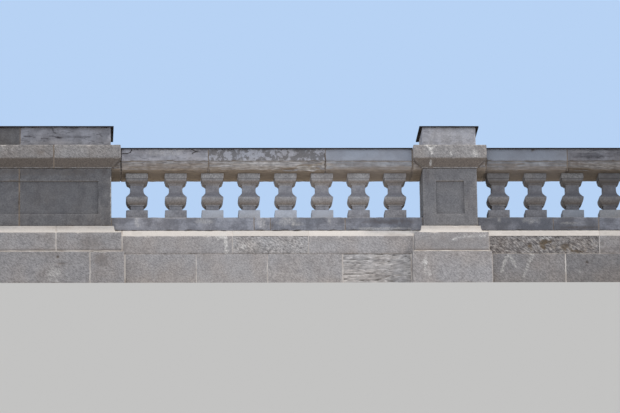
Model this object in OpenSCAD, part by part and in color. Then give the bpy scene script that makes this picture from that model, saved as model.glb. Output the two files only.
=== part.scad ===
// Stone parapet balustrade in two bays: a wide end pier, eight square balusters, a narrow
// pedestal, eight more balusters and a second wide end pier, all on two plinth courses.
// Millimetres. +Z is up, X runs along the row, the front face looks to -Y, and the origin
// is the middle of the underside.

/* [Layout] */
// Length of the die of each wide end pier
pier_w = 2180; // [1200:20:3000]
// Length of the die of the narrow pedestal between the bays
pedestal_w = 650; // [500:10:1100]
// Depth of every die, front to back
die_d = 590; // [540:10:800]

/* [Plinth courses] */
// Height of the lower course
lower_course_h = 390; // [250:10:600]
// How far the lower course stands out from the course on it
lower_course_p = 31; // [10:1:60]
// Height of the base course's plain face in a bay
base_course_h = 228; // [120:4:400]
// Depth of the base course in a bay, front to back
bay_base_d = 560; // [500:10:640]
// Height of the weathered slope over the base course of a bay
slope_h = 82; // [60:2:110]

/* [Base moulding of a pier] */
// How much higher the plain face of a pier's base course is than a bay's
pier_base_rise = 12; // [0:1:30]
// Radius of the hollow that sweeps out to that face
base_hollow_r = 86; // [60:1:120]
// Height of the fillet over the hollow
base_fillet_h = 16; // [8:1:40]
// How far that fillet stands out from the die
base_fillet_p = 31; // [10:1:50]

/* [Die panels] */
// Plain margin left round the sunk panel
panel_margin = 158; // [80:2:220]
// Depth of the sunk panel
panel_sink = 22; // [8:1:50]

/* [Cap] */
// How far the cap stands out from the die
cap_p = 115; // [60:1:150]
// Height of the cap's upright face
cap_face_h = 165; // [100:5:250]
// Height of the splay under that face
cap_splay_h = 88; // [50:2:120]
// Height of the small fillet under the splay
cap_fillet_h = 12; // [6:1:30]
// How far that fillet stands out from the die
cap_fillet_p = 12; // [4:1:30]
// How far the cap starts above the underside of the top rail
cap_rise = 17; // [0:1:40]

/* [Blocking stone] */
// Height of the blocking stone on the cap
blocking_h = 250; // [120:10:400]
// How far it is set in from the line of the die
blocking_inset = 4; // [0:1:60]

/* [Rails] */
// Depth of the bottom rail, whose face is in line with the foot of the top rail's rounded member
rail_d = 436; // [360:4:490]
// Height of the bottom rail
bottom_rail_h = 165; // [100:5:220]
// Depth of the top rail over its upright face
top_rail_d = 524; // [500:4:640]
// Height of the top rail's upright face
top_rail_face_h = 155; // [100:5:200]
// Height of the rounded member under that face, along the front
top_rail_round_h = 118; // [60:2:140]
// How far the rounded member starts behind the face
top_rail_quirk = 9; // [3:1:15]

/* [Balusters] */
// Balusters in a bay
baluster_count = 8; // [4:1:12]
// Spacing of the left bay's balusters, middle to middle, from the pedestal outwards
baluster_pitch = 438; // [380:2:500]
// Spacing of its last two before the pier, which were set wider
last_pitch = 465; // [380:1:540]
// From the pedestal's die to the middle of the left bay's nearest baluster
pedestal_gap = 320; // [260:1:400]
// From the left pier's die to the middle of the last baluster
pier_gap = 307; // [260:1:400]
// From the pedestal's die to the middle of the right bay's nearest baluster
right_pedestal_gap = 270; // [240:1:400]
// From the right pier's die to the middle of the last baluster
right_pier_gap = 321; // [240:1:400]

/* [Baluster foot] */
// Side of the square block
block_w = 260; // [220:2:300]
// Height of the block
block_h = 113; // [60:1:160]
// Side of the waist over the block
waist_w = 158; // [120:2:180]
// Height of the waist
waist_h = 62; // [30:1:90]
// Side of the fillet under the belly
belly_fillet_w = 182; // [180:2:192]
// Height of that fillet
belly_fillet_h = 13; // [6:1:24]

/* [Baluster belly and neck] */
// Side of the belly at its foot
belly_foot_w = 194; // [192:2:220]
// Side of the belly at its shoulder, where it is widest
belly_w = 262; // [240:2:300]
// Height of the rounded part of the belly
belly_h = 86; // [60:1:120]
// Height of the upright band over it, up to the shoulder
shoulder_h = 13; // [4:1:30]
// Side of the neck
neck_w = 161; // [120:1:180]
// Height over which the neck flares out to the shoulder
flare_h = 82; // [60:1:110]
// Height of the upright neck
neck_h = 59; // [30:1:90]

/* [Baluster head] */
// Height of the small hollow over the neck
head_hollow_h = 12; // [6:1:15]
// Height of the fillet over that hollow
head_fillet_h = 8; // [4:1:16]
// Side of the rounded bell at its top
bell_w = 256; // [240:2:266]
// Height of the bell
bell_h = 52; // [36:1:70]
// Height of the upright band over the bell
bell_band_h = 8; // [4:1:20]
// Side of the abacus, the square slab under the rail
abacus_w = 268; // [266:2:300]
// Height of the abacus
abacus_h = 58; // [30:1:90]

/* [Flashing] */
// Thickness of the sheet metal
sheet_t = 3; // [2:0.5:5]
// Height of the edge that is turned down as a drip, sheet included
drip_h = 16; // [10:1:30]
// How far the sheet stands out from a blocking stone
blocking_drip_p = 34; // [10:1:60]
// How far the sheet stands out from a top rail
rail_drip_p = 20; // [8:1:40]

/* [Hidden] */
$fn = 96;
STONE = [0.56, 0.55, 0.54];
SHADED_STONE = [0.47, 0.47, 0.49];
BRIGHT_STONE = [0.66, 0.64, 0.61];
SHEET = [0.33, 0.31, 0.30];
// How far a cutting solid runs past what it cuts
past = 20;

base_course_p = base_fillet_p + base_hollow_r;
pier_base_h = base_course_h + pier_base_rise;
foot_p = base_course_p + lower_course_p;

base_course_z = lower_course_h;
slope_z = base_course_z + base_course_h;
bottom_rail_z = slope_z + slope_h;
base_hollow_z = base_course_z + pier_base_h;
base_fillet_z = base_hollow_z + base_hollow_r;
die_z = base_fillet_z + base_fillet_h;
baluster_z = bottom_rail_z + bottom_rail_h;

// Levels within a baluster, from its foot
waist_z = block_h;
belly_fillet_z = waist_z + waist_h;
belly_z = belly_fillet_z + belly_fillet_h;
shoulder_z = belly_z + belly_h;
flare_z = shoulder_z + shoulder_h;
neck_z = flare_z + flare_h;
head_hollow_z = neck_z + neck_h;
head_fillet_z = head_hollow_z + head_hollow_h;
bell_z = head_fillet_z + head_fillet_h;
bell_band_z = bell_z + bell_h;
abacus_z = bell_band_z + bell_band_h;
baluster_h = abacus_z + abacus_h;
head_fillet_w = neck_w + 2 * head_hollow_h;

top_rail_z = baluster_z + baluster_h;
top_rail_h = top_rail_round_h + top_rail_face_h;
cap_z = top_rail_z + cap_rise;
die_h = cap_z - die_z;
cap_splay_z = cap_z + cap_fillet_h;
cap_face_z = cap_splay_z + cap_splay_h;
blocking_z = cap_face_z + cap_face_h;
blocking_d = die_d - 2 * blocking_inset;

// Distance of the left bay's last baluster from its start, and the clear length of a bay
last_baluster_x = pedestal_gap + (baluster_count - 2) * baluster_pitch + last_pitch;
bay_w = last_baluster_x + pier_gap;
// The right bay is as long, with its balusters spaced evenly
right_pitch = (bay_w - right_pedestal_gap - right_pier_gap) / (baluster_count - 1);

// The three stands, left to right: name, length of the die, middle, and the sides with a bay
STAND_NAMES = ["left_pier", "middle_pedestal", "right_pier"];
stand_w = [pier_w, pedestal_w, pier_w];
pier_x = pedestal_w / 2 + bay_w + pier_w / 2;
stand_x = [-pier_x, 0, pier_x];
bay_sides = [[1], [-1, 1], [-1]];

// The two bays, each measured from the pedestal outwards
BAY_NAMES = ["left_bay", "right_bay"];
bay_side = [-1, 1];
bay_start = pedestal_w / 2;
bay_middle = bay_start + bay_w / 2;

STAND_PIECES = ["lower_course", "base_course", "die", "cap", "blocking_stone", "flashing"];
BAY_PIECES = ["lower_course", "base_course", "bottom_rail", "top_rail", "flashing"];

// Radius of an arc that starts upright and moves run sideways over the height h
function arc_r(h, run) = (h * h + run * run) / (2 * run);

// Distance of baluster i from the start of a bay, on the given side, counted from 1
function baluster_x(side, i) =
    side > 0 ? right_pedestal_gap + (i - 1) * right_pitch
    : i < baluster_count ? pedestal_gap + (i - 1) * baluster_pitch
    : last_baluster_x;

// Upright band of a profile
module band(z, w, h) {
    translate([-w / 2, z])
        square([w, h]);
}

// Band that widens evenly from its foot to its top
module splay(z, w_foot, w_top, h) {
    polygon([
        [-w_foot / 2, z],
        [w_foot / 2, z],
        [w_top / 2, z + h],
        [-w_top / 2, z + h]
    ]);
}

// Rounded band, upright at its top and turned in towards its foot
module swell(z, w_foot, w_top, h) {
    r = arc_r(h, (w_top - w_foot) / 2);
    intersection() {
        band(z, w_top, h);
        union() {
            band(z, w_foot, h);
            for (side = [-1, 1])
                translate([side * (w_top / 2 - r), z + h])
                    circle(r);
        }
    }
}

// Hollow band, upright at its top and swept out towards its foot
module flare(z, w_foot, w_top, h) {
    r = arc_r(h, (w_foot - w_top) / 2);
    difference() {
        band(z, w_foot, h);
        for (side = [-1, 1])
            translate([side * (w_top / 2 + r), z + h])
                circle(r);
    }
}

// Section drawn across the row, drawn out along X over the length w
module along_row(w) {
    rotate([90, 0, 90])
        linear_extrude(w, center = true)
            children();
}

// Outline drawn as seen from the front, drawn out along Y over the depth d
module through_row(d) {
    rotate([90, 0, 0])
        linear_extrude(d, center = true)
            children();
}

// Foot of a pier: plain face, hollow and fillet, round a die of the given length
module base_profile(w) {
    band(base_course_z, w + 2 * base_course_p, pier_base_h);
    flare(base_hollow_z, w + 2 * base_course_p, w + 2 * base_fillet_p, base_hollow_r);
    band(base_fillet_z, w + 2 * base_fillet_p, base_fillet_h);
}

// Cap of a pier: fillet, splay and upright face
module cap_profile(w) {
    band(cap_z, w + 2 * cap_fillet_p, cap_fillet_h);
    splay(cap_splay_z, w + 2 * cap_fillet_p, w + 2 * cap_p, cap_splay_h);
    band(cap_face_z, w + 2 * cap_p, cap_face_h);
}

// Section of the base course in a bay, with its slope
module bay_base_section() {
    band(base_course_z, bay_base_d, base_course_h);
    splay(slope_z, bay_base_d, rail_d, slope_h);
}

// Section of the top rail, rounded under its face along the front and plain at the back
module top_rail_section() {
    swell(top_rail_z, rail_d, top_rail_d - 2 * top_rail_quirk, top_rail_round_h);
    translate([0, top_rail_z])
        square([top_rail_d / 2, top_rail_round_h]);
    band(top_rail_z + top_rail_round_h, top_rail_d, top_rail_face_h);
}

// Outline of a baluster, the same on all four sides
module baluster_profile() {
    band(0, block_w, block_h);
    band(waist_z, waist_w, waist_h);
    band(belly_fillet_z, belly_fillet_w, belly_fillet_h);
    swell(belly_z, belly_foot_w, belly_w, belly_h);
    band(shoulder_z, belly_w, shoulder_h);
    flare(flare_z, belly_w, neck_w, flare_h);
    band(neck_z, neck_w, neck_h);
    translate([0, head_fillet_z])
        mirror([0, 1])
            flare(0, head_fillet_w, neck_w, head_hollow_h);
    band(head_fillet_z, head_fillet_w, head_fillet_h);
    swell(bell_z, head_fillet_w, bell_w, bell_h);
    band(bell_band_z, bell_w, bell_band_h);
    band(abacus_z, abacus_w, abacus_h);
}

// Short length of a bay's section that a pier's stone carries at its side
module stub(w, side, p) {
    translate([side * (w + p) / 2, 0, 0])
        along_row(p)
            children();
}

// Sheet with its edges turned down, over a stone of w by d whose top is at z
module drip_sheet(z, w, d, p_w, p_d) {
    difference() {
        translate([-w / 2 - p_w, -d / 2 - p_d, z + sheet_t - drip_h])
            cube([w + 2 * p_w, d + 2 * p_d, drip_h]);
        translate([-w / 2, -d / 2, z - drip_h])
            cube([w, d, drip_h]);
        inner_w = p_w > 0 ? w + 2 * (p_w - sheet_t) : w + 2 * past;
        inner_d = d + 2 * (p_d - sheet_t);
        translate([-inner_w / 2, -inner_d / 2, z - drip_h])
            cube([inner_w, inner_d, drip_h]);
    }
}

module stand_lower_course(w) {
    full_w = w + 2 * foot_p;
    full_d = die_d + 2 * foot_p;
    color(STONE)
        translate([-full_w / 2, -full_d / 2, 0])
            cube([full_w, full_d, lower_course_h]);
}

// The stone under a die, with the start of each bay's slope and a seat for its bottom rail
module stand_base_course(w, sides) {
    color(BRIGHT_STONE)
        difference() {
            union() {
                intersection() {
                    through_row(die_d + 2 * base_course_p + past)
                        base_profile(w);
                    along_row(w + 2 * base_course_p + past)
                        base_profile(die_d);
                }
                for (side = sides)
                    stub(w, side, base_course_p)
                        bay_base_section();
            }
            for (side = sides)
                stub(w, side, base_course_p + past)
                    band(bottom_rail_z, rail_d, bottom_rail_h);
        }
}

module stand_die(w) {
    panel_w = w - 2 * panel_margin;
    panel_h = die_h - 2 * panel_margin;
    color(SHADED_STONE)
        difference() {
            translate([-w / 2, -die_d / 2, die_z])
                cube([w, die_d, die_h]);
            for (face = [-1, 1])
                translate([-panel_w / 2, face * die_d / 2 - panel_sink, die_z + panel_margin])
                    cube([panel_w, 2 * panel_sink, panel_h]);
        }
}

// The cap, with the end of each bay's top rail worked on it
module stand_cap(w, sides) {
    color(STONE)
        union() {
            intersection() {
                through_row(die_d + 2 * cap_p + past)
                    cap_profile(w);
                along_row(w + 2 * cap_p + past)
                    cap_profile(die_d);
            }
            for (side = sides)
                stub(w, side, cap_p)
                    top_rail_section();
        }
}

module stand_blocking_stone(w) {
    blocking_w = w - 2 * blocking_inset;
    color(SHADED_STONE)
        translate([-blocking_w / 2, -blocking_d / 2, blocking_z])
            cube([blocking_w, blocking_d, blocking_h]);
}

module stand_flashing(w) {
    color(SHEET)
        drip_sheet(
            blocking_z + blocking_h, w - 2 * blocking_inset, blocking_d,
            blocking_drip_p, blocking_drip_p
        );
}

module bay_lower_course() {
    full_d = bay_base_d + 2 * lower_course_p;
    color(STONE)
        along_row(bay_w - 2 * foot_p)
            band(0, full_d, lower_course_h);
}

module bay_base_course() {
    color(BRIGHT_STONE)
        along_row(bay_w - 2 * base_course_p)
            bay_base_section();
}

module bay_bottom_rail() {
    color(SHADED_STONE)
        along_row(bay_w)
            band(bottom_rail_z, rail_d, bottom_rail_h);
}

module bay_top_rail() {
    color(STONE)
        along_row(bay_w - 2 * cap_p)
            top_rail_section();
}

module bay_flashing() {
    color(SHEET)
        drip_sheet(top_rail_z + top_rail_h, bay_w - 2 * cap_p, top_rail_d, 0, rail_drip_p);
}

module baluster() {
    color(STONE)
        translate([0, 0, baluster_z])
            intersection() {
                through_row(abacus_w + past)
                    baluster_profile();
                along_row(abacus_w + past)
                    baluster_profile();
            }
}

for (s = [0 : len(STAND_NAMES) - 1]) {
    name = STAND_NAMES[s];
    w = stand_w[s];
    sides = bay_sides[s];
    translate([stand_x[s], 0, 0]) {
        stand_lower_course(w);
        stand_base_course(w, sides);
        stand_die(w);
        stand_cap(w, sides);
        stand_blocking_stone(w);
        stand_flashing(w);
    }
}

for (b = [0 : len(BAY_NAMES) - 1]) {
    name = BAY_NAMES[b];
    translate([bay_side[b] * bay_middle, 0, 0]) {
        bay_lower_course();
        bay_base_course();
        bay_bottom_rail();
        bay_top_rail();
        bay_flashing();
    }
    for (i = [1 : baluster_count])
        translate([bay_side[b] * (bay_start + baluster_x(bay_side[b], i)), 0, 0])
            baluster();
}
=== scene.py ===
# %% [markdown]
# # A weathered stone balustrade
#
# A balustrade is a row of small posts, the balusters, that stands on a plinth and carries a rail. This
# one runs on in bays between panelled piers. The CAD model already holds every stone's true size, so
# the work in Blender is what a mason's yard and a century outdoors do to it: the stones are cut
# apart at their joints, their arrises wear round and chip, and rain washes some faces pale while
# the sheltered ones go dark. Where the stone lies in shade, that shade is painted into its colour too.
#
# The imported model is loaded as a fixed frame. Its nodes are never moved. A piece that is made here
# replaces the node that it was made from.

# %% The frame
import math
import time

import bmesh
import bpy
import numpy as np
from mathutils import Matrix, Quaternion, Vector, noise


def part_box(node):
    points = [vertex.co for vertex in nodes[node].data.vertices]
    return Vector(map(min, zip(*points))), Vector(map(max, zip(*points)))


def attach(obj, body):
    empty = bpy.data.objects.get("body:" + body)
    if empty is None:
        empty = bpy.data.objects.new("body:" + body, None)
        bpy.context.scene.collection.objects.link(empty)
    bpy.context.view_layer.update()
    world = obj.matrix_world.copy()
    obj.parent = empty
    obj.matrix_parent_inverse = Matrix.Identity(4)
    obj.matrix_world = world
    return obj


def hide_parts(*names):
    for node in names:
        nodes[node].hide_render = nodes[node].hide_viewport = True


started = time.time()
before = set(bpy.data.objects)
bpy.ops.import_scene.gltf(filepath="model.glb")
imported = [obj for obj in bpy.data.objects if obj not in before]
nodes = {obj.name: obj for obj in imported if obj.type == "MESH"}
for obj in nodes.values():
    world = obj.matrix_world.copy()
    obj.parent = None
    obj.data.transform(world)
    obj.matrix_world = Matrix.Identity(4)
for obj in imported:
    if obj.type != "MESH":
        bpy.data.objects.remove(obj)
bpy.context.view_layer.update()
scene = bpy.context.scene
scene.view_settings.view_transform = "Standard"

# %% [markdown]
# ## The camera
#
# The balustrade stands high on a building and is seen from the ground a street away. A long lens
# from far off keeps the balusters nearly parallel, and the upward pitch shows the undersides of the
# rail and the caps. The camera is placed by the point that it looks at, its angles and its distance,
# so that each of them can be set against the photograph by itself.

# %% Camera
photo_width = 620
aim = Vector((-1.664, 0.0, 1.056))
distance = 62.32
yaw, pitch, roll = math.radians(2.92), math.radians(15.03), math.radians(-0.80)
look = Vector((math.sin(yaw) * math.cos(pitch), math.cos(yaw) * math.cos(pitch), math.sin(pitch)))
camera = bpy.data.objects.new("camera", bpy.data.cameras.new("camera"))
camera.data.sensor_width = 36.0
camera.data.lens = 302.0
camera.data.clip_end = 500.0
camera.location = aim - look * distance
camera.rotation_mode = "QUATERNION"
camera.rotation_quaternion = look.to_track_quat("-Z", "Y") @ Quaternion((0, 0, 1), roll)
scene.collection.objects.link(camera)
scene.camera = camera
pixel = distance * camera.data.sensor_width / camera.data.lens / photo_width
print("one pixel at the balusters is", round(pixel * 1000, 1), "mm")

# %% [markdown]
# ## Colours and nodes
#
# Colours are written as on a paint card, in sRGB hex, and one function turns them to the linear
# values that Blender mixes. A second small function adds a node, sets it and links it, so that each
# material below reads as a list of its layers. A third one begins an empty material.

# %% Three helpers for materials
# A mix node has sockets of one name for each kind of data, so those for colours are found by number.
SHARE, UNDER, OVER, MIXED = 0, 6, 7, 2


def linear(card):
    """An sRGB hex colour as the linear colour that the sockets take."""
    parts = [int(card[i : i + 2], 16) / 255 for i in (1, 3, 5)]
    return [c / 12.92 if c <= 0.04045 else ((c + 0.055) / 1.055) ** 2.4 for c in parts] + [1.0]


def add(tree, kind, inputs=None, **settings):
    """Adds a shader node with its settings. An input that is a node or a socket is linked, others are set."""
    node = tree.nodes.new("ShaderNode" + kind)
    for name, value in settings.items():
        setattr(node, name, value)
    for name, value in (inputs or {}).items():
        if isinstance(value, bpy.types.Node):
            value = value.outputs[0]
        if isinstance(value, bpy.types.NodeSocket):
            tree.links.new(value, node.inputs[name])
        else:
            node.inputs[name].default_value = value
    return node


def new_material(name):
    """An empty material and its node tree."""
    material = bpy.data.materials.new(name)
    material.use_nodes = True
    material.node_tree.nodes.clear()
    return material, material.node_tree


print("mid grey", [round(c, 3) for c in linear("#808080")])

# %% [markdown]
# ## Stage and light
#
# The floor is a plain pale platform. The camera looks up at the balustrade from below its foot, so
# the platform ends just in front of the plinth, as a cornice would, and drops away as a plain face.
# A soft lamp high on the right gives the mouldings their shape, and the world fills the shade
# evenly. What the camera sees behind the stone is a pale sky, through Is Camera Ray, so that the
# backdrop adds no light to the object.

# %% Platform
front_edge, reach, drop = -0.458, 400.0, 60.0
floor_mesh = bpy.data.meshes.new("floor")
floor_mesh.from_pydata(
    [
        (-reach, front_edge, 0.0),
        (reach, front_edge, 0.0),
        (reach, reach, 0.0),
        (-reach, reach, 0.0),
        (-reach, front_edge, -drop),
        (reach, front_edge, -drop),
    ],
    [],
    [(0, 1, 2, 3), (4, 5, 1, 0)],
)
floor = bpy.data.objects.new("floor", floor_mesh)
scene.collection.objects.link(floor)
plaster, tree = new_material("pale_plaster_floor")
dust = add(tree, "TexNoise", {"Scale": 3.0})
bump = add(tree, "Bump", {"Height": dust, "Distance": 0.001})
surface = {"Base Color": linear("#D6D4D0"), "Roughness": 0.9, "Normal": bump}
shader = add(tree, "BsdfPrincipled", surface)
add(tree, "OutputMaterial", {"Surface": shader})
floor.data.materials.append(plaster)

# %% World and lamp
world = bpy.data.worlds.new("studio")
world.use_nodes = True
scene.world = world
tree = world.node_tree
tree.nodes.clear()
fill = add(tree, "Background", {"Color": linear("#F2F5FA"), "Strength": 0.80})
backdrop = add(tree, "Background", {"Color": linear("#B7D2F4"), "Strength": 1.0})
ray = add(tree, "LightPath").outputs
seen = ray["Is Camera Ray"]
for also in ("Is Glossy Ray", "Is Transmission Ray"):
    seen = add(tree, "Math", {0: seen, 1: ray[also]}, operation="MAXIMUM")
split = add(tree, "MixShader", {0: seen, 1: fill, 2: backdrop})
add(tree, "OutputWorld", {"Surface": split})

key = bpy.data.objects.new("key_lamp", bpy.data.lights.new("key_lamp", "SUN"))
key.data.energy = 2.0
key.data.angle = math.radians(7)
key.data.color = linear("#FFF6E8")[:3]
towards_light = Vector((0.50, -0.15, 0.85)).normalized()
key.rotation_mode = "QUATERNION"
key.rotation_quaternion = towards_light.to_track_quat("Z", "Y")
scene.collection.objects.link(key)
print("light from", [round(x, 2) for x in towards_light])

# %% [markdown]
# ## The stone
#
# The stone is a fine-grained grey sandstone. Fresh, it is one colour. Outdoors it takes several at
# once: slopes are washed pale by rain, level tops gather lichen, faces that look down stay dry and
# keep a brown crust, painted darker too as their shade, and upright ones lie between, clouded and
# streaked. Each stone also comes from its own bed in the quarry and has its own tone. All the
# finishes share these layers, so one function makes them and the arguments say which real surface it
# is. The tops and the faces that look down, with their crust and painted shade, are found by the
# direction of the surface in the model, so they stay where they are from any side.
#
# Four values are stored in the mesh. lot is a stone's tone, from -1 to 1, and also moves its pattern
# along, so that no two stones look the same. arris is 1 at its edges and falls to 0 on its faces,
# rise goes from 0 at the foot of a piece to 1 at its head, and mark is above 0 where lime or bird
# dirt has run, or where a baluster's abacus is painted paler, and below 0 where the stone is stained,
# and also where a few marks paint shade. Real grit of 1 to 2 mm would be lost at this distance, so
# the grain is drawn coarser, at 11 mm or more. Where a mason dressed the face with a chisel, the grain
# is drawn out into slanting strokes.

# %% One function for every stone
CREAM, LICHEN, CRUST_AND_SHADE, EARTH_AND_SHADE = "#D3CECA", "#A19B92", "#746A61", "#5C4E42"
# How far the pattern and the wear of a stone move along with its lot, in metres.
LOT_SHIFT = (31.0, 17.0, 23.0)


def weathered_stone(
    name, dark, pale, cloud=0.10, cloud_from=0.36, cloud_to=0.64, grain=0.018, stroke=0.018,
    slant=25, grain_force=0.16, beds=0.0, veins=0.0, runs=0.0, streaks=0.0, washed=CREAM, top=LICHEN,
    crust_and_shade=CRUST_AND_SHADE, stain_and_shade=EARTH_AND_SHADE, relief=0.002,
):
    """A sandstone surface. cloud, stroke and grain are the sizes of a spot in metres, slant in degrees."""
    material, tree = new_material(name)
    place = add(tree, "TexCoord").outputs["Object"]
    stored = [add(tree, "Attribute", attribute_name=label) for label in ("lot", "arris", "rise", "mark")]
    lot, arris, rise, mark = [node.outputs["Fac"] for node in stored]
    shifted = {0: lot, 1: LOT_SHIFT, 2: place}
    own = add(tree, "VectorMath", shifted, operation="MULTIPLY_ADD")
    wide = add(tree, "TexNoise", {"Vector": own, "Scale": 3.0, "Detail": 2.0})

    # Three noises are drawn out: along level beds some 30 mm apart, along the veins that wander
    # between them, and down the streaks. A vein follows one height line of its noise. A run of lime
    # starts at the top edge.
    drawn = []
    for stretch, detail in (((1.6, 1.6, 30.0), 4.0), ((2.2, 2.2, 11.0), 3.0), ((17.0, 17.0, 1.8), 3.0)):
        longer = add(tree, "VectorMath", {0: own, 1: stretch}, operation="MULTIPLY")
        drawn.append(add(tree, "TexNoise", {"Vector": longer, "Scale": 1.0, "Detail": detail}))
    bedding, veining, running = drawn
    off = add(tree, "Math", {0: veining, 1: 0.53}, operation="SUBTRACT")
    off = add(tree, "Math", {0: off}, operation="ABSOLUTE")
    start = add(tree, "MapRange", {"Value": rise, "From Min": 1.0, "From Max": 0.2, "To Max": 0.16})
    falling = add(tree, "Math", {0: running, 1: start}, operation="SUBTRACT")

    # Grit, which also breaks up the marks and the worn arrises.
    turned = {"Vector": own, "Rotation": (0.0, math.radians(slant), 0.0), "Scale": (stroke, grain, grain)}
    struck = add(tree, "Mapping", turned, vector_type="TEXTURE")
    settings = {"Vector": struck, "Scale": 1.0, "Detail": 3.0, "Roughness": 0.65}
    grit = add(tree, "TexNoise", settings)
    limits = {"Value": grit, "From Min": 0.35, "From Max": 0.62, "To Min": 0.45, "To Max": 1.25}
    broken = add(tree, "MapRange", limits)
    marked = add(tree, "Math", {0: mark, 1: broken}, operation="MULTIPLY")
    rubbed = add(tree, "Math", {0: arris, 1: broken}, operation="MULTIPLY")
    facing = add(tree, "NewGeometry").outputs["Normal"]
    facing = add(tree, "SeparateXYZ", {0: facing}).outputs["Z"]

    # The stone itself is clouded in two tones.
    settings = {"Vector": own, "Scale": 1 / cloud, "Detail": 5.0, "Roughness": 0.62}
    clouds = add(tree, "TexNoise", settings)
    limits = {"Value": clouds, "From Min": cloud_from, "From Max": cloud_to}
    clouded = add(tree, "MapRange", limits, interpolation_type="SMOOTHSTEP")
    layer = {SHARE: clouded, UNDER: linear(dark), OVER: linear(pale)}
    colour = add(tree, "Mix", layer, data_type="RGBA").outputs[MIXED]

    # Then come the coats, from the oldest to the newest. Each is what it follows, from which value to
    # which it grows, how strong it gets and its colour. The warmth is multiplied, as a glaze is.
    coats = {
        "warmth": (wide, 0.38, 0.68, 1.0, "#FFFAF5"),
        "bed": (bedding, 0.44, 0.60, beds, dark),
        "vein": (off, 0.016, 0.0, veins, "#55535A"),
        "streak": (running, 0.40, 0.66, streaks, pale),
        "run of lime": (falling, 0.58, 0.68, runs, "#D2CFCB"),
        "rain on slopes": (facing, 0.10, 0.50, 1.0, washed),
        "lichen on tops": (facing, 0.88, 0.98, 1.0, top),
        # Faces that look down: a brown crust, painted darker still as their shade.
        "crust and painted shade below": (facing, -0.05, -0.60, 1.0, crust_and_shade),
        "splash": (marked, 0.0, 1.0, 1.0, "#D3D0CD"),
        # Marks below 0: stains, and in a few places painted shade.
        "stain_and_shade": (marked, 0.0, -1.0, 1.0, stain_and_shade),
        "worn arris": (rubbed, 0.0, 1.25, 0.15, CREAM),
    }
    shares = {}
    for coat, (follows, low, high, most, paint) in coats.items():
        limits = {"Value": follows, "From Min": low, "From Max": high, "To Max": most}
        shares[coat] = add(tree, "MapRange", limits)
        layer = {SHARE: shares[coat], UNDER: colour, OVER: linear(paint)}
        blend = "MULTIPLY" if coat == "warmth" else "MIX"
        colour = add(tree, "Mix", layer, data_type="RGBA", blend_type=blend).outputs[MIXED]

    # The grit darkens and lightens it, and each stone has its own tone.
    limits = {"Value": grit, "From Min": 0.35, "From Max": 0.65}
    limits.update({"To Min": 1 - grain_force, "To Max": 1 + grain_force})
    shade = add(tree, "MapRange", limits)
    own_tone = add(tree, "Math", {0: lot, 1: 0.4, 2: 1.0}, operation="MULTIPLY_ADD")
    tone = add(tree, "Math", {0: own_tone, 1: shade}, operation="MULTIPLY")
    colour = add(tree, "HueSaturation", {"Value": tone, "Color": colour})

    limits = {"Value": grit, "From Min": 0.3, "From Max": 0.7, "To Min": 0.80, "To Max": 0.96}
    rough = add(tree, "MapRange", limits)
    carved = add(tree, "Math", {0: shares["bed"], 1: shares["vein"]}, operation="ADD")
    height = add(tree, "Math", {0: carved, 1: -1.0, 2: grit}, operation="MULTIPLY_ADD")
    bump = add(tree, "Bump", {"Height": height, "Distance": relief, "Strength": 0.8})
    surface = {"Base Color": colour, "Roughness": rough, "Normal": bump, "Specular IOR Level": 0.3}
    shader = add(tree, "BsdfPrincipled", surface)
    add(tree, "OutputMaterial", {"Surface": shader})
    return material


# The crust colour is also painted shade on faces that look down, and the stain colour is also painted shade
# in a few marks.
print("default colours:", CREAM, "washed,", LICHEN, "on tops,", CRUST_AND_SHADE, "below,", EARTH_AND_SHADE, "in stains")

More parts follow.
